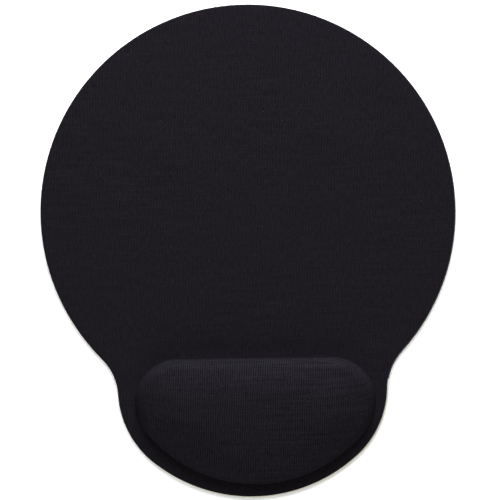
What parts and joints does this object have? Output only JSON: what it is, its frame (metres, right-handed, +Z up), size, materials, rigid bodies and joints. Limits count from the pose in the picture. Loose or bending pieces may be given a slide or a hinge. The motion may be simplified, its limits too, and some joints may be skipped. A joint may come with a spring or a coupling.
{
  "type": "mouse mat with gel wrist rest",
  "caption": "Round fabric mouse mat that runs into a front lobe with a D-shaped gel cushion for the wrist, on an anti-slip base.",
  "frame": {"origin": "middle of the underside, at the bottom centre of the bounding box, on the desk", "axes": "+X to the user's right, +Y away from the user from the cushion to the round mat, +Z up"},
  "size_m": [0.203, 0.241, 0.022],
  "materials": {
    "base": "matt embossed soft polyurethane",
    "adhesive": "thin translucent adhesive film",
    "foam": "fine closed-cell foam",
    "film": "milky translucent polyurethane film",
    "gel": "soft translucent gel",
    "cover": "fine ribbed stretch knit, near black"
  },
  "bodies": {
    "root": {"anti_slip_base": "base", "base_adhesive": "adhesive", "foam_mat": "foam", "gel_backing_film": "film", "gel_core": "gel", "gel_dome_film": "film", "fabric_cover": "cover"}
  },
  "joints": []
}
